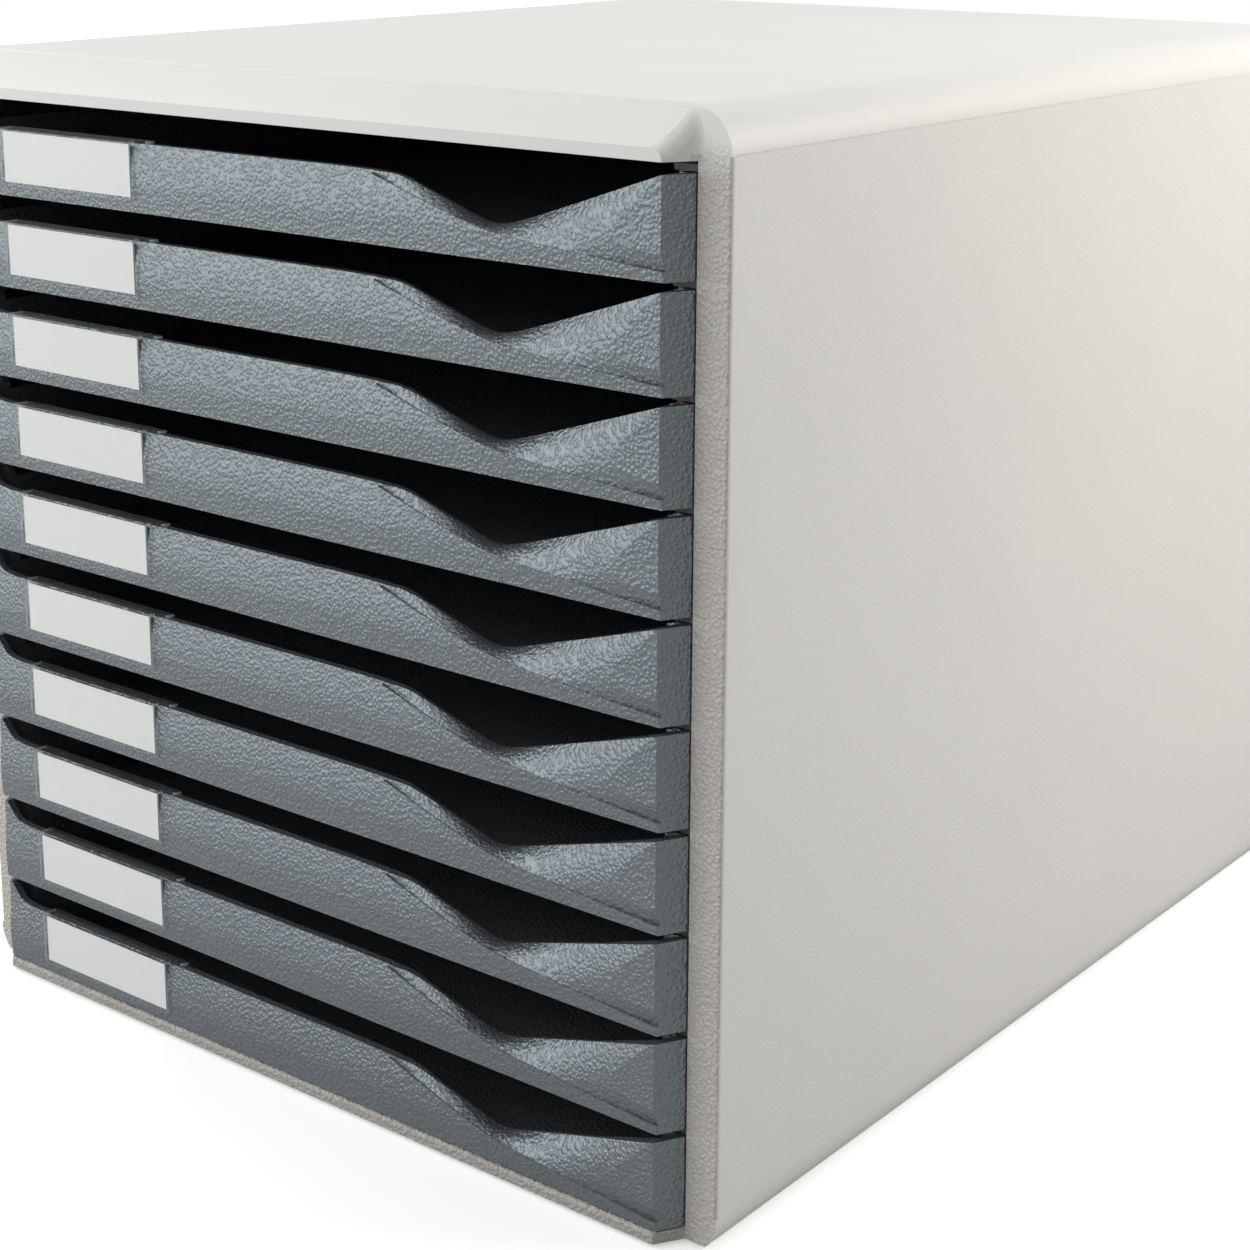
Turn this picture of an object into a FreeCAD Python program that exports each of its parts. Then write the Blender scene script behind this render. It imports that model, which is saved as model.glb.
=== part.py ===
import FreeCAD, Part
import math
import os

from FreeCAD import Vector

# Ten-drawer desktop cabinet for letter and form paper.
# A light grey moulded housing (top cover, two side panels, base and back)
# stands on four rubber feet.  Two dark runner frames inside it carry ten
# shallow drawers, each with a scooped front and a clear holder for a card.
# X points to the right, the drawers open towards -Y, and Z points up.  The
# origin is the middle of the footprint, on the surface the feet stand on.

# Drawers: the paper they take sets the size of the cabinet
drawer_count = 10
tray_inside_width = 250.4
tray_inset = 7.05
drawer_length = 346.5
front_height = 25.0
front_gap = 2.15
face_height = 19.1
facet_run = 4.2
front_wall = 2.2
tray_wall = 2.2
tray_floor = 2.0
tray_headroom = 2.85
tray_floor_lift = 0.2
runner_wing_clearance = 0.25

# Rounded face of a drawer front: how far it stands back from the front plane
face_setback_bottom = 0.7
face_setback_top = 1.3
face_belly_height = 8.0

# Finger scoop: places along it are measured from the drawer's right end
scoop_start_from_end = 87.55
scoop_low_from_end = 58.45
scoop_fall = 0.42
scoop_edge_softness = 5.0
scoop_low_softness = 4.2
crease_start_from_end = 96.25
crease_bend_from_end = 57.95
crease_drop = 1.3
crease_fall = 0.29
crease_flattening = 0.213
crease_softness = 8.0
scoop_depth_start = 1.0
scoop_depth_growth = 0.108
scoop_depth_turn_from_end = 48.25
scoop_depth_softness = 8.0
ledge_depth_start = 0.5
ledge_depth_least = 0.08
ledge_depth_end = 0.9
scoop_bulge = 0.075
scoop_brim = 0.9
scoop_stations = 16
left_rise_run = 9.25
left_rise_slope = 1.2
left_rise_softness = 2.0

# Card and clear holder on the left of each drawer front
card_width = 54.4
card_top_margin = 0.3
card_thickness = 0.25
card_from_end = 22.9
card_bottom = 4.2
card_pocket = 0.1
holder_wall = 0.7
holder_rim = 0.9
holder_hook = 3.0
holder_proud = 0.9
holder_tab = 5.0
holder_tab_radius = 3.0

# Runners
rail_thickness = 1.7
rail_reach = 7.2
runner_plate = 2.2
runner_gap = 0.3
runner_rib = 2.4
runner_rib_count = 4
stop_height = 2.0
stop_length = 3.0
stop_nib_play = 1.35
stop_nib_length = 8.0
drawer_travel = 270.0
stop_play = 0.4

# Housing
column_width = 9.7
column_set_back = 7.7
side_clearance = 0.55
drawer_clearance = 0.4
wall = 2.6
back_thickness = 2.4
back_gap = 0.6
back_side_play = 0.2
back_top_play = 0.2
back_return = 8.0
back_field_margin = 14.0
back_field_rise = 0.8
back_field_corner = 8.0
base_thickness = 3.2
base_skirt = 8.4
edge_radius = 12.0
cover_inner_radius = 7.0
corner_radius = 1.2
base_lip_radius = 1.2
cover_skirt = 11.6
seam_groove = 0.35

# Brow of the top cover, over the top drawer
brow_clearance = 0.75
brow_lip = 3.15
brow_height = 13.15
brow_hollow = 0.7
brow_crown_drop = 1.35
brow_crown_run = 1.4
brow_blend = 4.0
cheek_blend = 3.0

# Rubber feet
foot_diameter = 14.0
foot_thickness = 1.8
foot_height = 1.0
foot_inset = 22.0

# Widths and depths worked out from the sizes above
half_tray = tray_inside_width / 2
half_drawer = half_tray + tray_inset
half_opening = half_drawer + side_clearance
half_width = half_opening + column_width
front_corner = half_drawer - facet_run
cheek_depth = column_set_back + tray_wall
skin = half_width - wall
overall_depth = (holder_proud + drawer_length + back_gap + back_thickness
                 + wall)
front = -overall_depth / 2 + holder_proud
back = overall_depth / 2
column = front + column_set_back
column_rear = column + wall
back_face = back - wall - back_thickness
rail_inner = half_opening - rail_reach
stop_rear = column_rear + stop_length
past = 5.0

# Heights worked out from the sizes above
drawer_pitch = front_height + front_gap
base_bottom = foot_height
base_top = base_bottom + base_thickness
base_seam = base_bottom + base_skirt
first_drawer = base_top + drawer_clearance
stack_top = first_drawer + drawer_count * drawer_pitch
brow_bottom = stack_top + brow_clearance
top = brow_bottom + brow_height
ceiling = top - wall
cover_seam = top - cover_skirt
rail_lift = tray_floor_lift - runner_gap
rail_underside = drawer_pitch + rail_lift - rail_thickness
nib_top = rail_underside - stop_nib_play
tray_wall_height = rail_underside - stop_height - tray_headroom

# Places along a drawer front, from the cabinet's middle
scoop_start = half_drawer - scoop_start_from_end
scoop_low = half_drawer - scoop_low_from_end
scoop_depth_turn = half_drawer - scoop_depth_turn_from_end
crease_start = half_drawer - crease_start_from_end
crease_bend = half_drawer - crease_bend_from_end
crease_height = face_height - crease_drop
left_rise_start = half_drawer - left_rise_run
card_height = face_height - card_bottom - card_top_margin


def box(x0, x1, y0, y1, z0, z1):
    """A block between two corners."""
    return Part.makeBox(x1 - x0, y1 - y0, z1 - z0, Vector(x0, y0, z0))


def closed_face(points):
    """A flat face inside a closed run of straight edges."""
    return Part.Face(Part.makePolygon(points + points[:1]))


def plan_prism(points, z0, z1):
    """A plan outline carried up from z0 to z1."""
    face = closed_face([Vector(x, y, z0) for x, y in points])
    return face.extrude(Vector(0, 0, z1 - z0))


def mirrored(shape):
    """The same shape on the other side of the cabinet."""
    return shape.mirror(Vector(0, 0, 0), Vector(1, 0, 0))


def joined(shapes):
    """Touching or overlapping shapes as one solid."""
    whole = shapes[0].multiFuse(shapes[1:])
    return whole.removeSplitter()


def soft_ramp(x, start, slope, softness):
    """Zero before start and a slope after it, with a rounded bend."""
    along = x - start
    return slope / 2 * (along + math.sqrt(along ** 2 + softness ** 2))


def even_steps(first, last, count):
    """Evenly spaced values with both ends."""
    return [first + (last - first) * i / (count - 1) for i in range(count)]


def stepped_plan(set_back):
    """Plan outline with the slanted front corners of drawers and housing."""
    return [(-half_opening, front + set_back), (-front_corner, front),
            (front_corner, front), (half_opening, front + set_back),
            (half_width, front + set_back), (half_width, back),
            (-half_width, back), (-half_width, front + set_back)]


def rim_section(radius, z0, z1, rounded_top):
    """Across the cabinet: an outline whose upper or lower edges are round."""
    edge = z1 if rounded_top else z0
    straight = z0 if rounded_top else z1
    centre = edge - radius if rounded_top else straight
    rise = edge - centre
    run = math.sqrt(radius ** 2 - rise ** 2) if abs(rise) < radius else 0.0
    flat = half_width - radius + run
    half_turn = math.atan2(rise, run) / 2
    bow = (half_width - radius + radius * math.cos(half_turn),
           centre + radius * math.sin(half_turn))
    right = [Part.LineSegment(Vector(half_width, front, straight),
                              Vector(half_width, front, centre))
             if abs(straight - centre) > 1e-6 else None,
             Part.Arc(Vector(half_width, front, centre),
                      Vector(bow[0], front, bow[1]),
                      Vector(flat, front, edge))]
    left = [Part.Arc(Vector(-flat, front, edge),
                     Vector(-bow[0], front, bow[1]),
                     Vector(-half_width, front, centre)),
            Part.LineSegment(Vector(-half_width, front, centre),
                             Vector(-half_width, front, straight))
            if abs(straight - centre) > 1e-6 else None]
    across = Part.LineSegment(Vector(flat, front, edge),
                              Vector(-flat, front, edge))
    closing = Part.LineSegment(Vector(-half_width, front, straight),
                               Vector(half_width, front, straight))
    pieces = [p for p in right + [across] + left + [closing] if p]
    wire = Part.Wire([p.toShape() for p in pieces])
    return Part.Face(wire).extrude(Vector(0, overall_depth, 0))


def rear_rounding(radius, z_edge, rounded_top):
    """What the rounded rear edge takes off a block, along the width."""
    way = -1 if rounded_top else 1
    centre_z = z_edge + way * radius
    centre_y = back - radius
    diagonal = radius * math.sqrt(0.5)
    arc = Part.Arc(Vector(0, back, centre_z),
                   Vector(0, centre_y + diagonal, centre_z - way * diagonal),
                   Vector(0, centre_y, z_edge))
    outside = [Part.LineSegment(Vector(0, centre_y, z_edge),
                                Vector(0, centre_y, z_edge - way * past)),
               Part.LineSegment(Vector(0, centre_y, z_edge - way * past),
                                Vector(0, back + past, z_edge - way * past)),
               Part.LineSegment(Vector(0, back + past, z_edge - way * past),
                                Vector(0, back + past, centre_z)),
               Part.LineSegment(Vector(0, back + past, centre_z),
                                Vector(0, back, centre_z))]
    wire = Part.Wire([e.toShape() for e in [arc] + outside])
    cutter = Part.Face(wire).extrude(Vector(2 * half_width + 2 * past, 0, 0))
    cutter.translate(Vector(-half_width - past, 0, 0))
    return cutter


def edges_where(shape, test):
    """The edges of a shape whose every point passes a test."""
    found = []
    for edge in shape.Edges:
        points = edge.discretize(5)
        if all(test(p) for p in points):
            found.append(edge)
    return found


def brow_profile():
    """Front to back: lip, hollow slope and rounded crown of the cover."""
    lip_top = brow_bottom + brow_lip
    crown_start = Vector(0, column, top - brow_crown_drop)
    crown_end = Vector(0, column + brow_crown_run, top)
    crown_lean = 0.3
    crown_bow = Vector(0, column + brow_crown_run * crown_lean,
                       top - brow_crown_drop * crown_lean)
    lip = Vector(0, front, lip_top)
    middle = (lip + crown_start) * 0.5
    along = crown_start - lip
    across = Vector(0, along.z, -along.y)
    across.normalize()
    outline = [
        Part.LineSegment(Vector(0, front, brow_bottom), lip),
        Part.Arc(lip, middle + across * brow_hollow, crown_start),
        Part.Arc(crown_start, crown_bow, crown_end),
        Part.LineSegment(crown_end, Vector(0, back, top)),
        Part.LineSegment(Vector(0, back, top), Vector(0, back, brow_bottom)),
        Part.LineSegment(Vector(0, back, brow_bottom),
                         Vector(0, front, brow_bottom)),
    ]
    wire = Part.Wire([e.toShape() for e in outline])
    prism = Part.Face(wire).extrude(Vector(2 * half_width, 0, 0))
    prism.translate(Vector(-half_width, 0, 0))
    return prism


def blended_cheeks(shape):
    """Rounds the brow's slanted ends and the corners they make below."""
    slanted = [e for e in shape.Edges if isinstance(e.Curve, Part.Ellipse)
               and e.BoundBox.YMax < column_rear
               and e.BoundBox.YLength > wall]
    shape = shape.makeFillet(brow_blend, slanted)
    corners = edges_where(shape, lambda p: abs(p.y - column) < 0.01
                          and abs(abs(p.x) - half_opening) < 0.01)
    upright = [e for e in corners
               if abs(e.Vertexes[0].Z - e.Vertexes[1].Z) > wall]
    return shape.makeFillet(cheek_blend, upright)


def make_top_cover():
    """Cover shell with round side and rear edges and the brow in front."""
    outside = rim_section(edge_radius, brow_bottom, top, True)
    outside = outside.common(plan_prism(stepped_plan(column_set_back),
                                        brow_bottom, top))
    outside = outside.cut(rear_rounding(edge_radius, top, True))
    outside = blended_cheeks(outside.common(brow_profile()))
    lower = brow_bottom - past
    beside = box(half_opening, half_width + past, front - past, back + past,
                 lower, cover_seam)
    behind = box(-half_width - past, half_width + past, column_rear,
                 back + past, lower, cover_seam)
    outside = outside.cut(beside).cut(mirrored(beside)).cut(behind)

    room = box(-skin, skin, column_rear, back - wall, lower, ceiling)
    upper = edges_where(room, lambda p: abs(p.z - ceiling) < 0.01
                        and p.y > column_rear + 0.01)
    sides = edges_where(room, lambda p: abs(p.z - ceiling) < 0.01
                        and abs(abs(p.x) - skin) < 0.01)
    room = room.makeFillet(cover_inner_radius, upper + [
        e for e in sides if not any(e.isSame(u) for u in upper)])
    lip_inside = front + wall
    hollow = [Vector(0, lip_inside, lower),
              Vector(0, lip_inside, brow_bottom + brow_lip - wall / 2),
              Vector(0, column_rear, ceiling - wall / 2),
              Vector(0, column_rear + past, ceiling - wall / 2),
              Vector(0, column_rear + past, lower)]
    under_brow = closed_face(hollow).extrude(
        Vector(2 * (front_corner - wall), 0, 0))
    under_brow.translate(Vector(wall - front_corner, 0, 0))
    cover = outside.cut(room).cut(under_brow)
    groove = box(half_width - seam_groove, half_width + past,
                 column + corner_radius, back + past,
                 cover_seam - past, cover_seam + seam_groove)
    cover = cover.cut(groove).cut(mirrored(groove))
    return cover


def make_side_panel():
    """Right side: skin, grained front column and a rear return."""
    outline = [(half_opening, column), (half_width, column),
               (half_width, back), (skin - back_return, back),
               (skin - back_return, back - wall), (skin, back - wall),
               (skin, column_rear), (half_opening, column_rear)]
    panel = plan_prism(outline, base_seam, cover_seam)
    corners = edges_where(panel, lambda p: abs(p.x - half_width) < 0.01
                          and p.z > base_seam - 0.01)
    upright = [e for e in corners
               if abs(e.Vertexes[0].Z - e.Vertexes[1].Z) > past]
    return panel.makeFillet(corner_radius, upright)


def make_base_plate():
    """Shallow base with a round lower edge, front lip and drawer pads."""
    solid = rim_section(edge_radius, base_bottom, base_seam, False)
    solid = solid.common(plan_prism(stepped_plan(column_set_back),
                                    base_bottom, base_seam))
    rear = rear_rounding(edge_radius, base_seam - edge_radius, False)
    solid = solid.cut(rear)
    doorway = box(-half_opening, half_opening, front - past, column_rear,
                  base_top, base_seam + past)
    room = box(-skin, skin, column_rear, back - wall, base_top,
               base_seam + past)
    solid = solid.cut(doorway).cut(room)
    lip = edges_where(solid, lambda p: abs(p.y - front) < 0.01
                      and abs(p.z - base_top) < 0.01)
    solid = solid.makeFillet(base_lip_radius, lip)
    pad_top = first_drawer + rail_lift
    pad = box(rail_inner, half_opening - side_clearance,
              column_rear + runner_rib, back_face - runner_rib,
              base_top - base_thickness / 2, pad_top)
    solid = joined([solid, pad, mirrored(pad)])
    for x, y in foot_places():
        pocket = Part.makeCylinder(foot_diameter / 2 + runner_gap,
                                   foot_thickness - foot_height,
                                   Vector(x, y, base_bottom))
        solid = solid.cut(pocket)
    return solid


def make_back_panel():
    """Back plate between the side returns, with a raised field."""
    width = skin - back_side_play
    plate = box(-width, width, back_face, back - wall, base_top,
                ceiling - cover_inner_radius - back_top_play)
    reach = skin - back_return - back_field_margin
    field = box(-reach, reach, back - wall, back - wall + back_field_rise,
                base_seam + back_field_margin, cover_seam - back_field_margin)
    rounds = edges_where(field, lambda p: abs(abs(p.x) - reach) < 0.01)
    across = [e for e in rounds
              if abs(e.Vertexes[0].Y - e.Vertexes[1].Y) > 0.1]
    return joined([plate, field.makeFillet(back_field_corner, across)])


def rail_height(level):
    """Underside of the rail that carries drawer number level from below."""
    return first_drawer + level * drawer_pitch + rail_lift - rail_thickness


def make_runner_frame():
    """Right runner frame: plate, rails, stops and spacing ribs."""
    plate_inner = half_opening
    plate = box(plate_inner, plate_inner + runner_plate, column_rear,
                back_face, base_top, ceiling - wall)
    pieces = [plate]
    for level in range(1, drawer_count + 1):
        z = rail_height(level)
        rail = box(rail_inner, plate_inner, column_rear - wall * 0.8,
                   back_face, z, z + rail_thickness)
        stop = box(rail_inner, rail_inner + tray_wall, column_rear,
                   stop_rear, z - stop_height, z)
        pieces += [rail, stop]
    first_rib = column_rear + runner_rib
    last_rib = back_face - 2 * runner_rib
    for y in even_steps(first_rib, last_rib, runner_rib_count):
        pieces.append(box(plate_inner + runner_plate, skin, y,
                          y + runner_rib, base_top, cover_seam))
    return joined(pieces)


def foot_places():
    """Centres of the four feet."""
    x = half_width - foot_inset
    y = overall_depth / 2 - foot_inset
    return [(-x, -y), (x, -y), (-x, y), (x, y)]


def make_foot(x, y):
    """A round rubber pad, half sunk into the base."""
    pad = Part.makeCylinder(foot_diameter / 2, foot_thickness,
                            Vector(x, y, 0))
    rim = [e for e in pad.Edges if abs(e.BoundBox.ZMax) < 0.01]
    return pad.makeFillet(foot_height / 3, rim)


def top_line(x):
    """Height of a drawer front's upper edge at x, from its bottom."""
    slope_up = ((front_height - face_height
                 + scoop_fall * (front_corner - scoop_start))
                / (front_corner - scoop_low))
    return (face_height
            + soft_ramp(-x, left_rise_start, left_rise_slope,
                        left_rise_softness)
            + soft_ramp(x, scoop_start, -scoop_fall, scoop_edge_softness)
            + soft_ramp(x, scoop_low, slope_up, scoop_low_softness))


def crease_line(x):
    """Height of the crease between the face and the scoop."""
    return (crease_height - crease_fall * (x - crease_start)
            + soft_ramp(x, crease_bend, crease_flattening, crease_softness))


def scoop_depth(x):
    """How far the scoop's upper edge stands behind the front plane."""
    rise = scoop_depth_growth
    peak = scoop_depth_start + rise * (scoop_depth_turn - crease_start)
    fall = peak / (front_corner - scoop_depth_turn)
    return (scoop_depth_start + rise * (x - crease_start)
            + soft_ramp(x, scoop_depth_turn, -rise - fall,
                        scoop_depth_softness))


def face_setback(z):
    """How far the rounded face stands behind the front plane at a height."""
    if z < face_belly_height:
        share = 1 - z / face_belly_height
        return face_setback_bottom * share ** 2
    share = (z - face_belly_height) / (face_height - face_belly_height)
    return face_setback_top * min(share, 1) ** 2


def ledge_depth(x):
    """How far the scoop's lower edge stands behind the face under it."""
    share = (x - crease_start) / (front_corner - crease_start)
    return (ledge_depth_least + ledge_depth_start * (1 - share) ** 2
            + ledge_depth_end * share ** 4)


def scoop_section(x):
    """Outline across the scoop at x of what is taken off the front."""
    crease = crease_line(x)
    low = Vector(x, face_setback(crease) + ledge_depth(x), crease)
    high = Vector(x, scoop_depth(x), top_line(x))
    along = high - low
    outward = Vector(0, -along.z, along.y)
    outward.normalize()
    bow = (low + high) * 0.5 + outward * scoop_bulge * along.Length
    behind = cheek_depth + past
    above = front_height + past
    corners = [high, Vector(x, behind, high.z), Vector(x, behind, above),
               Vector(x, -past, above), Vector(x, -past, low.z), low]
    sides = [Part.LineSegment(p, q) for p, q in zip(corners, corners[1:])]
    return Part.Wire([e.toShape() for e in [Part.Arc(low, bow, high)] + sides])


def face_cutter(x0, x1, height):
    """What is taken off in front of the rounded face, up to a height."""
    heights = even_steps(-front_wall, height, 9)
    curve = Part.BSplineCurve()
    curve.interpolate([Vector(x0, face_setback(max(z, 0)), z)
                       for z in heights])
    low = Vector(x0, face_setback(0), heights[0])
    high = Vector(x0, face_setback(height), height)
    corners = [high, Vector(x0, -past, height),
               Vector(x0, -past, heights[0]), low]
    sides = [Part.LineSegment(p, q) for p, q in zip(corners, corners[1:])]
    wire = Part.Wire([e.toShape() for e in [curve] + sides])
    return Part.Face(wire).extrude(Vector(x1 - x0, 0, 0))


def above_face(x0, x1):
    """What is taken off above the top line, left of the scoop."""
    level_start = left_rise_softness * 3 - left_rise_start
    level_end = scoop_start - scoop_edge_softness * 4
    rise = [Vector(x, -past, top_line(x))
            for x in even_steps(x0, level_start, 9)]
    fall = [Vector(x, -past, top_line(x))
            for x in even_steps(level_end, x1, 7)]
    rise[-1].z = face_height
    fall[0].z = face_height
    above = front_height + 2 * past
    rise_curve = Part.BSplineCurve()
    rise_curve.interpolate(rise)
    fall_curve = Part.BSplineCurve()
    fall_curve.interpolate(fall)
    corners = [fall[-1], Vector(x1, -past, above), Vector(x0, -past, above),
               rise[0]]
    sides = [Part.LineSegment(p, q) for p, q in zip(corners, corners[1:])]
    level = Part.LineSegment(rise[-1], fall[0])
    wire = Part.Wire([e.toShape() for e in
                      [rise_curve, level, fall_curve] + sides])
    return Part.Face(wire).extrude(Vector(0, cheek_depth + 2 * past, 0))


def make_front():
    """Front of a drawer: slanted ends, rounded face and finger scoop."""
    outline = [(-front_corner, 0), (front_corner, 0),
               (half_drawer, column_set_back), (half_drawer, cheek_depth),
               (-half_drawer, cheek_depth), (-half_drawer, column_set_back)]
    block = plan_prism(outline, 0, front_height)
    scoop_end = front_corner + facet_run / 2
    stations = even_steps(crease_start, scoop_end, scoop_stations)
    scoop = Part.makeLoft([scoop_section(x) for x in stations], True, False)
    middle = scoop_low + past
    block = block.cut(above_face(-half_drawer, crease_start))
    block = block.cut(face_cutter(-half_drawer, middle, front_height))
    block = block.cut(face_cutter(middle, half_drawer,
                                  crease_line(middle) + 0.2))
    return block.cut(scoop)


def make_cavity():
    """Inside of a drawer, from its floor up."""
    front_line = front_wall + face_setback_top
    rear = drawer_length - tray_wall
    bottom = tray_floor_lift + tray_floor
    behind_scoop = [Vector(x, max(front_line, scoop_depth(x) + scoop_brim),
                           bottom)
                    for x in even_steps(crease_start + past,
                                        front_corner - past, scoop_stations)]
    curve = Part.BSplineCurve()
    start = Vector(-half_tray, front_line, bottom)
    turn = Vector(crease_start, front_line, bottom)
    end = Vector(half_tray, front_line, bottom)
    curve.interpolate([turn] + behind_scoop + [end])
    corners = [end, Vector(half_tray, rear, bottom),
               Vector(-half_tray, rear, bottom), start, turn]
    runs = [Part.LineSegment(p, q) for p, q in zip(corners, corners[1:])]
    wire = Part.Wire([e.toShape() for e in [curve] + runs])
    return Part.Face(wire).extrude(Vector(0, 0, front_height + past - bottom))


def make_cheek_room():
    """Hollow behind the right slanted end of a drawer front."""
    slant = math.hypot(facet_run, column_set_back)
    inward = tray_wall * slant / column_set_back
    depth = front_wall + face_setback_top
    at_depth = front_corner + facet_run * depth / column_set_back - inward
    overlap = half_tray - tray_wall
    outline = [(overlap, depth), (at_depth, depth),
               (half_drawer - inward, column_set_back),
               (overlap, column_set_back)]
    return plan_prism(outline, tray_floor_lift + tray_floor,
                      front_height + past)


def make_drawer():
    """One drawer: front, tray, sliding wings and rear stop nibs."""
    bottom = tray_floor_lift
    wing = half_opening - side_clearance - runner_wing_clearance
    outer = half_tray + tray_wall
    floor_top = bottom + tray_floor
    floor = box(-wing, wing, cheek_depth, drawer_length, bottom, floor_top)
    tub = box(-outer, outer, cheek_depth, drawer_length, bottom,
              tray_wall_height)
    nib_front = drawer_travel + stop_rear - front + stop_play
    nib = box(half_tray, outer, nib_front, nib_front + stop_nib_length,
              tray_wall_height, nib_top)
    body = joined([make_front(), floor, tub, nib, mirrored(nib)])
    cheek = make_cheek_room()
    body = body.cut(make_cavity()).cut(cheek).cut(mirrored(cheek))
    return body.cut(card_recess())


def card_span():
    """Left and right ends of the card on a drawer front."""
    left = card_from_end - half_drawer
    return left, left + card_width


def card_recess():
    """Flat seat for the card holder on the rounded face."""
    left, right = card_span()
    return box(left - holder_rim, right + holder_rim, -past, card_pocket,
               card_bottom - holder_rim, face_height)


def make_card():
    """Blank paper card behind the clear window."""
    left, right = card_span()
    return box(left, right, card_pocket - card_thickness, card_pocket,
               card_bottom, card_bottom + card_height)


def make_holder():
    """Clear window that hooks over the top of the drawer front."""
    left, right = card_span()
    x0 = left - holder_rim
    x1 = right + holder_rim
    low = card_bottom - holder_rim
    high = face_height + holder_wall
    rear = front_wall + face_setback_top
    window_rear = holder_wall - holder_proud
    window = box(x0, x1, -holder_proud, window_rear, low, high)
    bridge = box(x0, x1, window_rear, rear + holder_wall, face_height, high)
    hook = box(x0, x1, rear, rear + holder_wall, face_height - holder_hook,
               face_height)
    foot_rim = box(x0, x1, window_rear, card_pocket, low, card_bottom)
    tab = box(x1 - holder_rim, x1 + holder_tab, face_setback_top,
              rear + holder_wall, face_height, high)
    corner = edges_where(tab, lambda p: abs(p.x - x1 - holder_tab) < 0.01
                         and abs(p.y - face_setback_top) < 0.01)
    tab = tab.makeFillet(min(holder_tab_radius, rear + holder_wall
                             - face_setback_top - 0.1), corner)
    return joined([window, bridge, hook, foot_rim, tab])


def export(shape, name):
    """One named sub-part in a file of its own."""
    solids = shape.Solids
    if not shape.isValid() or len(solids) != 1:
        raise ValueError(name + " is not one sound solid")
    solids[0].exportStep("parts/" + name + ".step")
    size = solids[0].BoundBox
    print(name, "%.1f x %.1f x %.1f mm, %.0f mm3" % (
        size.XLength, size.YLength, size.ZLength, solids[0].Volume))


def main():
    os.makedirs("parts", exist_ok=True)
    side_panel = make_side_panel()
    runner_frame = make_runner_frame()
    export(make_top_cover(), "top_cover")
    export(make_base_plate(), "base_plate")
    export(make_back_panel(), "back_panel")
    export(side_panel, "right_side_panel")
    export(mirrored(side_panel), "left_side_panel")
    export(runner_frame, "right_runner_frame")
    export(mirrored(runner_frame), "left_runner_frame")
    foot_names = ("front_left", "front_right", "rear_left", "rear_right")
    for name, place in zip(foot_names, foot_places()):
        export(make_foot(*place), "foot_" + name)
    drawer_pieces = (("drawer", make_drawer()), ("label_holder", make_holder()),
                     ("label_card", make_card()))
    for number in range(1, drawer_count + 1):
        level = drawer_count - number
        place = Vector(0, front, first_drawer + level * drawer_pitch)
        for name, shape in drawer_pieces:
            export(shape.translated(place), "%s_%02d" % (name, number))


main()
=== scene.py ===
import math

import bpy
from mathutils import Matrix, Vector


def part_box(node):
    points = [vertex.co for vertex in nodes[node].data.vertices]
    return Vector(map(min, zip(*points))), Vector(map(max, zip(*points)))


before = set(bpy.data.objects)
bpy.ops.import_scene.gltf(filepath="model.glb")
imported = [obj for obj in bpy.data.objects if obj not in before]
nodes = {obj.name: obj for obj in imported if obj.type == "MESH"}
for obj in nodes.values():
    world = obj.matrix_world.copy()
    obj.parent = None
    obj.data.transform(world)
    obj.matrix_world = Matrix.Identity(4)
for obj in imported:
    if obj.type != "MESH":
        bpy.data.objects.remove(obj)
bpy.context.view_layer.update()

# %% [markdown]
# # A desktop drawer cabinet
# The cabinet has ten scooped drawers in a pale plastic housing.  The packed
# model already gives every solid in its place and in metres, so nothing is
# modelled again here: a second set of shapes could drift away from the part.
# This script adds materials, a floor, a world, lamps and a camera.  Each cell
# does one thing and prints what it made.

# %% [markdown]
# Shader maths reads best as ordinary sums.  A Wire stands for one output of a
# node, and adding, scaling or comparing wires makes the Math nodes behind it.
# The reflected forms let a plain number stand on the left, as in 1 - mask.
# The same nodes could be placed one by one, but then the sum gets lost.

# %%
# One output that can be used in sums
class Wire:
    """An output of a shader node, with ordinary arithmetic."""

    def __init__(self, owner, socket):
        self.owner = owner
        self.socket = socket

    def math(self, kind, *others):
        return self.owner.add("Math", {"operation": kind}, [self, *others])

    def __add__(self, other):
        return self.math("ADD", other)

    def __sub__(self, other):
        return self.math("SUBTRACT", other)

    def __mul__(self, other):
        return self.math("MULTIPLY", other)

    def __pow__(self, other):
        return self.math("POWER", other)

    def __rsub__(self, other):
        return self * -1 + other

    def __gt__(self, other):
        return self.math("GREATER_THAN", other)

    def __lt__(self, other):
        return self.math("LESS_THAN", other)

    def __abs__(self):
        return self.math("ABSOLUTE")

    def most(self, other):
        """The larger of the two, which joins two masks."""
        return self.math("MAXIMUM", other)

    __radd__ = __add__
    __rmul__ = __mul__

    def ramp(self, low, high, start=0.0, end=1.0):
        """Goes smoothly from start to end while the value goes from low to high."""
        return self.owner.add("MapRange", {"interpolation_type": "SMOOTHSTEP"},
                              [self, low, high, start, end])

    def tint(self, first, second):
        """The first colour where the value is 0 and the second where it is 1."""
        return self.owner.add("Mix", {"data_type": "RGBA"},
                              {"Factor": self, "A": first, "B": second}, "Result")


print("defined:", Wire.__name__)

# %% [markdown]
# A Tree fills one node tree.  Its method `add` makes a node of any type from
# its settings and the values of its sockets, and gives back the wanted output.
# The world uses it as it is.

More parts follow.
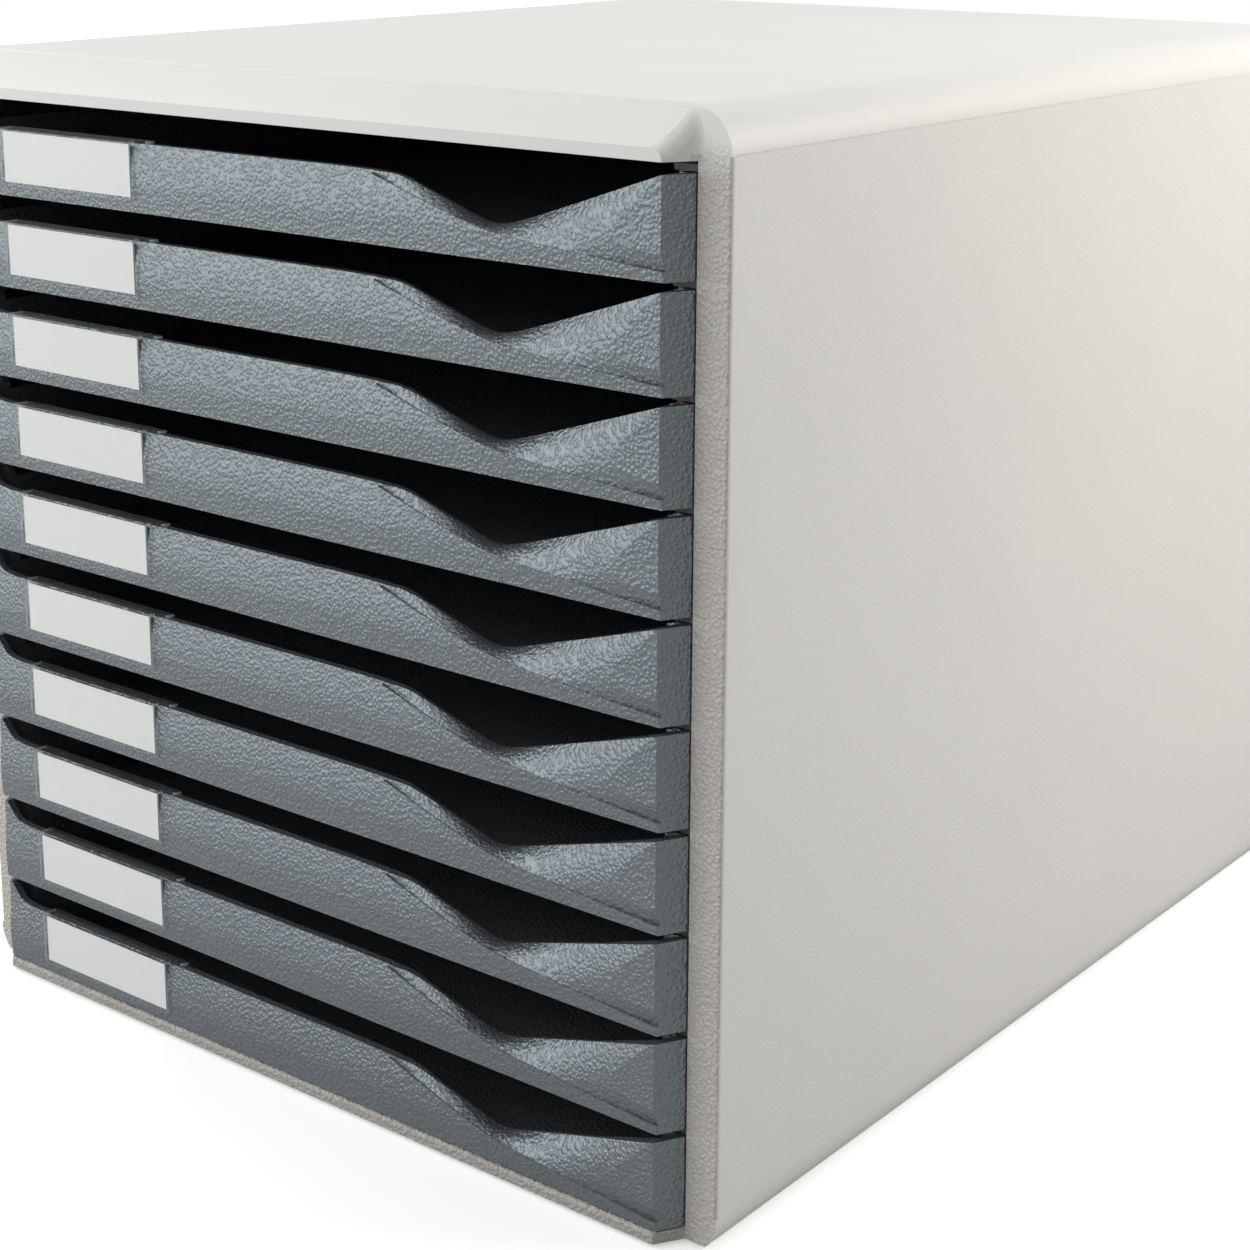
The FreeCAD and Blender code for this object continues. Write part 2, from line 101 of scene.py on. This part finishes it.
# %%
# One node tree that is filled from Python
class Tree:
    """A node tree, with one method that adds any node."""

    def __init__(self, node_tree):
        self.tree = node_tree

    def add(self, kind, settings=None, sockets=None, output=None):
        node = self.tree.nodes.new("ShaderNode" + kind)
        for name, value in (settings or {}).items():
            setattr(node, name, value)
        self.fill(node, sockets or {})
        outs = [s for s in node.outputs if s.enabled]
        if output:
            outs = [s for s in outs if s.name == output]
        return Wire(self, outs[0])

    def fill(self, node, sockets):
        """Sets a node's sockets by order or by name, to numbers or to wires."""
        live = [s for s in node.inputs if s.enabled]
        if isinstance(sockets, dict):
            pairs = [(next(s for s in live if s.name == n), v)
                     for n, v in sockets.items()]
        else:
            pairs = zip(live, sockets)
        for socket, value in pairs:
            if isinstance(value, Wire):
                self.tree.links.new(value.socket, socket)
            elif isinstance(value, (tuple, list)) and socket.type == "RGBA":
                socket.default_value = (*value[:3], 1.0)
            else:
                socket.default_value = value


print("defined:", Tree.__name__)

# %% [markdown]
# A Maker is the tree of one new material with a Principled shader.  Every
# finish of the cabinet is an ordinary plastic, rubber or paper, and that one
# shader covers them all, so no other shader is mixed in.

# %%
# One new material
class Maker(Tree):
    """A new material with a Principled shader."""

    def __init__(self, name):
        self.material = bpy.data.materials.new(name)
        self.material.use_nodes = True
        super().__init__(self.material.node_tree)
        self.shader = self.tree.nodes["Principled BSDF"]

    def surface(self, **values):
        """Sets the Principled shader, with spaces written as underscores."""
        named = {n.replace("_", " "): v for n, v in values.items()}
        self.fill(self.shader, named)
        return self.material


print("defined:", Maker.__name__)

# %% [markdown]
# Colours are easiest to judge as the 0 to 255 values of a screen, but shaders
# work in linear light.  This function turns the one into the other.

# %%
# Screen colours in linear light
def linear(value):
    """One screen value from 0 to 255, in linear light from 0 to 1."""
    part = value / 255
    if value > 10:
        return ((part + 0.055) / 1.055) ** 2.4
    return part / 12.92


def srgb(red, green, blue):
    """A colour read as 0 to 255 on a screen, in the linear values shaders use."""
    return (linear(red), linear(green), linear(blue))


print("mid grey in linear light:", round(srgb(128, 128, 128)[0], 3))

# %% [markdown]
# The drawers and the columns have a leather-like moulded grain: soft pebbles
# about a millimetre across with finer texture between them.  A picture of
# leather could be wrapped on, but it would repeat and stretch.  Voronoi cells
# in object coordinates follow every curve of the scoops without a seam, and
# since these coordinates are metres in the cabinet's own frame, a length in a
# texture is true to size and stays on a drawer that slides out.

# %%
# Shared textures: position, pebbled grain and cloudy variation
pebble_size = 0.0011
pebble_warp = 0.7


def position(maker):
    """Position in the cabinet's frame, in metres."""
    return maker.add("TexCoord", output="Object")


def axes(maker, vector):
    """The three parts of a vector."""
    return [maker.add("SeparateXYZ", None, [vector], axis) for axis in "XYZ"]


def cloud(maker, where, size, detail=3.0, rough=0.55):
    """Soft noise with features about `size` metres across, from 0 to 1."""
    return maker.add("TexNoise", None, {
        "Vector": where, "Scale": 1 / size, "Detail": detail,
        "Roughness": rough}, "Fac")


def pebbles(maker, where):
    """Rounded cells with creases between them, from 0 in a crease to 1."""
    shift = maker.add("TexNoise", None, {
        "Vector": where, "Scale": 0.8 / pebble_size, "Detail": 2.0}, "Color")
    bent = maker.add("VectorMath", {"operation": "MULTIPLY_ADD"}, [
        shift, (pebble_warp * pebble_size,) * 3, where])
    cells = maker.add("TexVoronoi", {"feature": "F1"}, {
        "Vector": bent, "Scale": 1 / pebble_size}, "Distance")
    return cells.ramp(0.05, 0.8, 1.0, 0.0)


def relief(maker, height, depth, strength=1.0, below=None):
    """Turns a height from 0 to 1 into a bump of `depth` metres."""
    sockets = {"Height": height, "Distance": depth, "Strength": strength}
    if below:
        sockets["Normal"] = below
    return maker.add("Bump", None, sockets, "Normal")


print("pebble size in mm:", 1000 * pebble_size)

# %% [markdown]
# The housing is light grey plastic.  Its broad sides have a fine even grain,
# the top is a little smoother, and the two front columns carry the coarse grain
# and a darker tone, which fade out just above the seam of the cover.  The
# columns are the same plastic as the rest, so their darker tone is painted
# shade.  Three materials could be laid on chosen faces, but the fade would then
# end in a line.  One material serves every piece, and masks made from the
# position decide which finish a point gets.

# %%
# Where each finish of the housing lies
panel_low, panel_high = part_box("right_side_panel")
front = panel_low[1]
half_width = panel_high[0]
seam_top = panel_high[2]
seam_base = panel_low[2]
column_width = 0.0108
cheek_start = 0.0065
cheek_end = 0.0095
fade = 0.006
front_slack = 0.0004
side_slack = 0.001


def housing_masks(maker, where):
    """The coarse columns, the strip under the drawers, and the side faces."""
    x, y, z = axes(maker, where)
    facing = maker.add("NewGeometry", output="Normal")
    normal_y = axes(maker, facing)[1]
    inward = half_width - abs(x)
    on_panel = (inward < column_width) * (z < seam_top)
    on_cover = inward.ramp(cheek_start, cheek_end, 1, 0)
    at_front = (y < front + front_slack) * (normal_y < -0.5)
    below_fade = z.ramp(seam_top - fade, seam_top + fade, 1, 0)
    in_column = on_panel.most(on_cover) * at_front * below_fade
    in_strip = (y < front) * (z < seam_base)
    on_side = (abs(x) > half_width - side_slack) * (z < seam_top)
    return in_column, in_strip, on_side


print("front of the columns in mm:", round(1000 * front, 1))

# %% [markdown]
# Two bumps lie on top of each other: fine grain everywhere, strong on the
# sides and weak on top, and pebbles in the columns and the front strip.  A
# trace of the pebbles on the sides keeps their broad face from looking flat.

# %%
# Housing plastic
housing_tones = (srgb(232, 230, 226), srgb(238, 236, 231))
# The columns are the housing's plastic; these darker tones are painted shade.
column_shaded_tones = (srgb(192, 187, 177), srgb(228, 223, 214))
# The strip under the drawers is darker as painted shade, for its low place by the floor.
strip_shaded_tones = (srgb(172, 168, 161), srgb(188, 184, 177))
noise_low = 0.3
noise_high = 0.7
fine_depth = 0.00008
pebble_depth = 0.0003
side_pebbles = 0.12


def housing_plastic():
    maker = Maker("housing_plastic")
    where = position(maker)
    in_column, in_strip, on_side = housing_masks(maker, where)
    grained = in_column.most(in_strip).most(on_side * side_pebbles)
    coarse = pebbles(maker, where)
    fine = cloud(maker, where, 0.0007, 3.0, 0.6)
    plain = cloud(maker, where, 0.06, 2.0).tint(*housing_tones)
    speck = fine * 0.5 + coarse * 0.5
    # Painted shade: the columns get darker tones than the rest of the housing.
    with_columns = in_column.tint(plain, speck.tint(*column_shaded_tones))
    # Painted shade: the strip under the drawers gets darker tones too.
    colour = in_strip.tint(with_columns, speck.tint(*strip_shaded_tones))
    fine_bump = relief(maker, fine * (on_side * 0.8 + 0.2), fine_depth, 0.4)
    normal = relief(maker, coarse * grained, pebble_depth, 1.0, fine_bump)
    rough = fine.ramp(noise_low, noise_high, 0.42, 0.5)
    return maker.surface(Base_Color=colour, Roughness=rough, Normal=normal)


housing = housing_plastic()
print("housing nodes:", len(housing.node_tree.nodes))

# %% [markdown]
# The drawers are dark blue-grey plastic with the pebbled grain.  Light from in
# front glints on every pebble, which makes the fronts look much lighter than
# the plastic itself.  A paler colour would give the same brightness but no
# glints, so the colour stays dark and the gloss is strong and slightly cool.

# %%
# Drawer plastic
drawer_tones = (srgb(78, 80, 85), srgb(86, 88, 93))
drawer_depth = 0.00022
cool_gloss = (0.82, 0.98, 1.0)


def drawer_plastic():
    maker = Maker("drawer_plastic")
    where = position(maker)
    grain = pebbles(maker, where)
    fine = cloud(maker, where, 0.0005, 3.0, 0.6)
    colour = cloud(maker, where, 0.04, 2.0).tint(*drawer_tones)
    normal = relief(maker, grain * 0.85 + fine * 0.15, drawer_depth, 1.0)
    rough = fine.ramp(noise_low, noise_high, 0.32, 0.42)
    return maker.surface(Base_Color=colour, Roughness=rough, Normal=normal,
                         IOR=1.65, Specular_IOR_Level=1.0,
                         Specular_Tint=cool_gloss)


drawer = drawer_plastic()
print("drawer nodes:", len(drawer.node_tree.nodes))

# %% [markdown]
# Inside, the runner frames are plain dark plastic with faint flow marks, and
# the feet are black rubber.  Both need only a slow change of tone and a fine
# bump, so one function makes them from two tones and a range of roughness.

# %%
# Runner plastic and rubber
runner_tones = (srgb(62, 55, 55), srgb(72, 64, 63))
rubber_tones = (srgb(30, 30, 30), srgb(38, 37, 36))
dark_depth = 0.00005


def dark_plastic(name, tones, rough_low, rough_high):
    maker = Maker(name)
    where = position(maker)
    fine = cloud(maker, where, 0.0012, 4.0, 0.6)
    colour = cloud(maker, where, 0.02, 2.0).tint(*tones)
    rough = fine.ramp(noise_low, noise_high, rough_low, rough_high)
    return maker.surface(Base_Color=colour, Roughness=rough,
                         Normal=relief(maker, fine, dark_depth, 0.4))


runner = dark_plastic("runner_plastic", runner_tones, 0.45, 0.6)
rubber = dark_plastic("foot_rubber", rubber_tones, 0.75, 0.9)
print("dark materials:", runner.name, rubber.name)

# %% [markdown]
# Each drawer carries a blank card of thick white paper.  Paper is nearly plain
# at this distance, so a fine fibre and a soft unevenness are enough: they keep
# it from looking like painted metal.

# %%
# Card
card_tones = (srgb(248, 248, 244), srgb(252, 252, 249))
fibre_depth = 0.00002


def card_paper():
    maker = Maker("card_paper")
    where = position(maker)
    fibre = cloud(maker, where, 0.0004, 5.0, 0.7)
    uneven = cloud(maker, where, 0.012, 2.0)
    colour = (fibre * 0.4 + uneven * 0.6).tint(*card_tones)
    return maker.surface(Base_Color=colour, Roughness=fibre.ramp(0.2, 0.8, 0.7, 0.85),
                         Normal=relief(maker, fibre, fibre_depth, 0.3))


card = card_paper()
print("card material:", card.name)

# %% [markdown]
# The holder in front of the card is clear plastic.  Real transmission would
# bend the light in a sheet this thin for nothing and add noise.  A low alpha
# shows the card, and grazing parts and the thin end faces are less clear, as
# the edges of clear plastic are.

# %%
# Clear holder
clear_tones = (srgb(222, 226, 225), srgb(234, 237, 236))
clear_alpha = 0.02
edge_alpha = 0.6


def clear_plastic():
    maker = Maker("clear_plastic")
    where = position(maker)
    haze = cloud(maker, where, 0.003, 3.0)
    grazing = maker.add("LayerWeight", None, {"Blend": 0.25}, "Facing")
    normal_x = axes(maker, maker.add("NewGeometry", output="Normal"))[0]
    end_face = (abs(normal_x) > 0.6) * edge_alpha
    veil = grazing.ramp(0.4, 1.0, clear_alpha, edge_alpha).most(end_face)
    return maker.surface(Base_Color=haze.tint(*clear_tones),
                         Alpha=veil + haze * clear_alpha,
                         Roughness=haze.ramp(0.2, 0.8, 0.12, 0.2),
                         Specular_IOR_Level=1.0)


clear = clear_plastic()
print("holder material:", clear.name)

# %% [markdown]
# Every solid keeps its shape and gets its material in its own slots.  The
# names of the nodes say what each piece is, so the start of the name picks the
# finish, and whatever is left is a piece of the housing.

# %%
# Assign the materials
finishes = (("drawer_", drawer), ("label_holder", clear), ("label_card", card),
            ("left_runner", runner), ("right_runner", runner), ("foot_", rubber))


def finish_for(name):
    """The material of a node, by the start of its name."""
    for start, material in finishes:
        if name.startswith(start):
            return material
    return housing


for name, obj in nodes.items():
    for slot in obj.material_slots:
        slot.material = finish_for(name)
print("dressed:", len(nodes))

# %% [markdown]
# The cabinet stands on a white floor under a white sky.  Strong lamps could
# make them white, but they would wash out the pale housing.  Instead the floor
# glows for the camera alone, little close to the cabinet, so that its soft
# shadow stays, and fully further away.  For the light that the floor throws
# back onto the cabinet it is only mid grey.

# %%
# Floor
floor_half = 4.0
near_floor = 0.35
far_floor = 1.1
near_glow = 0.42
mid_grey = srgb(150, 150, 150)
floor_tones = (srgb(248, 248, 247), srgb(252, 252, 251))
ray_kinds = ("Is Camera Ray", "Is Glossy Ray", "Is Transmission Ray")


def ray_wires(tree):
    """The camera's own rays, and all rays that show the backdrop."""
    camera_ray, glossy, through = [tree.add("LightPath", output=kind)
                                   for kind in ray_kinds]
    return camera_ray, camera_ray.most(glossy).most(through)


def studio_white():
    maker = Maker("studio_floor")
    where = position(maker)
    x, y, z = axes(maker, where)
    camera_ray, seen = ray_wires(maker)
    pale = cloud(maker, where, 0.5, 2.0).tint(*floor_tones)
    away = (x * x + y * y) ** 0.5
    lift = away.ramp(near_floor, far_floor, near_glow, 1.0)
    glow = (camera_ray * lift).tint((0, 0, 0), (1, 1, 1))
    return maker.surface(Base_Color=seen.tint(mid_grey, pale), Roughness=0.9,
                         Emission_Color=glow, Emission_Strength=1.0)


def make_floor(half):
    mesh = bpy.data.meshes.new("floor")
    corners = [(-half, -half, 0), (half, -half, 0), (half, half, 0), (-half, half, 0)]
    mesh.from_pydata(corners, [], [(0, 1, 2, 3)])
    floor = bpy.data.objects.new("floor", mesh)
    bpy.context.scene.collection.objects.link(floor)
    mesh.materials.append(studio_white())
    return floor


floor = make_floor(floor_half)
print("floor:", floor.name, "half width in m:", floor_half)

# %% [markdown]
# The world lights the cabinet evenly and dimly from all sides, slightly cool.
# The camera, and what it sees in gloss or through clear plastic, gets plain
# white instead.  A brighter sky would give the same white background, but it
# would also wash out the pale housing.

# %%
# World
sky_tint = (0.96, 0.98, 1.0)
sky_strength = 0.3


def make_world():
    world = bpy.data.worlds.new("studio")
    world.use_nodes = True
    bpy.context.scene.world = world
    world.node_tree.nodes.remove(world.node_tree.nodes["Background"])
    tree = Tree(world.node_tree)
    seen = ray_wires(tree)[1]
    dim = tree.add("Background", None, {"Color": sky_tint, "Strength": sky_strength})
    white = tree.add("Background", None, {"Color": (1, 1, 1), "Strength": 1.0})
    sky = tree.add("MixShader", None, [seen, dim, white])
    tree.fill(world.node_tree.nodes["World Output"], {"Surface": sky})
    return world


world = make_world()
print("world:", world.name)

# %% [markdown]
# Five soft boxes light the cabinet.  The large one in front on the left draws
# the glints on the drawer fronts.  The small one close on the right makes the
# side brightest at the back and top, as in the photo; a large one there would
# light it evenly.  The others only open the shadows.  The powers are low, so
# that a colour renders about as it is written and pale edges don't clip.

# %%
# Lamps
middle = (0.0, 0.0, 0.15)
side_middle = (0.0, 0.05, 0.2)
white_light = (1.0, 1.0, 1.0)
cool_light = (0.97, 0.99, 1.0)
warm_light = (1.0, 0.97, 0.92)


def soft_box(name, spot, aim, size, power, colour):
    data = bpy.data.lights.new(name, "AREA")
    data.shape = "RECTANGLE"
    data.size, data.size_y = size
    data.energy = power
    data.color = colour
    lamp = bpy.data.objects.new(name, data)
    lamp.location = spot
    aim_way = Vector(aim) - Vector(spot)
    lamp.rotation_euler = aim_way.to_track_quat("-Z", "Y").to_euler()
    bpy.context.scene.collection.objects.link(lamp)
    return lamp


lamps = [
    soft_box("top", (0.0, 0.0, 2.0), middle, (1.0, 1.0), 5.5, white_light),
    soft_box("front_left", (-1.15, -1.3, 0.7), middle, (1.4, 1.8), 22, cool_light),
    soft_box("left", (-1.6, 0.2, 1.2), middle, (1.0, 1.0), 6, white_light),
    soft_box("right", (0.58, 0.27, 0.48), side_middle, (0.3, 0.3), 2.4, warm_light),
    soft_box("fill", (1.3, -1.1, 0.9), middle, (1.0, 1.0), 2.5, white_light),
]
print("lamps:", [(lamp.name, lamp.data.energy) for lamp in lamps])

# %% [markdown]
# The camera looks down on the front right corner from close by, as the photo
# does, so the drawers run together strongly.  Its place, direction, lens and
# small shift come from a least-squares fit of the cabinet's own corners to
# where the photo shows them.

# %%
# Camera
camera_spot = (0.46287, -0.61961, 0.34481)
camera_azimuth = 39.045
camera_pitch = 13.975
camera_shift = (0.04, -0.13)
sensor_width = 36.0
focal_in_widths = 1.95331


def make_camera():
    data = bpy.data.cameras.new("camera")
    data.sensor_width = sensor_width
    data.lens = focal_in_widths * sensor_width
    data.shift_x, data.shift_y = camera_shift
    data.dof.use_dof = False
    camera = bpy.data.objects.new("camera", data)
    a = math.radians(camera_azimuth)
    e = math.radians(camera_pitch)
    ahead = Vector((-math.sin(a) * math.cos(e), math.cos(a) * math.cos(e), -math.sin(e)))
    camera.location = camera_spot
    camera.rotation_euler = ahead.to_track_quat("-Z", "Y").to_euler()
    bpy.context.scene.collection.objects.link(camera)
    bpy.context.scene.camera = camera
    return camera


camera = make_camera()
bpy.context.scene.view_settings.view_transform = "Standard"
print("lens in mm:", round(camera.data.lens, 1))
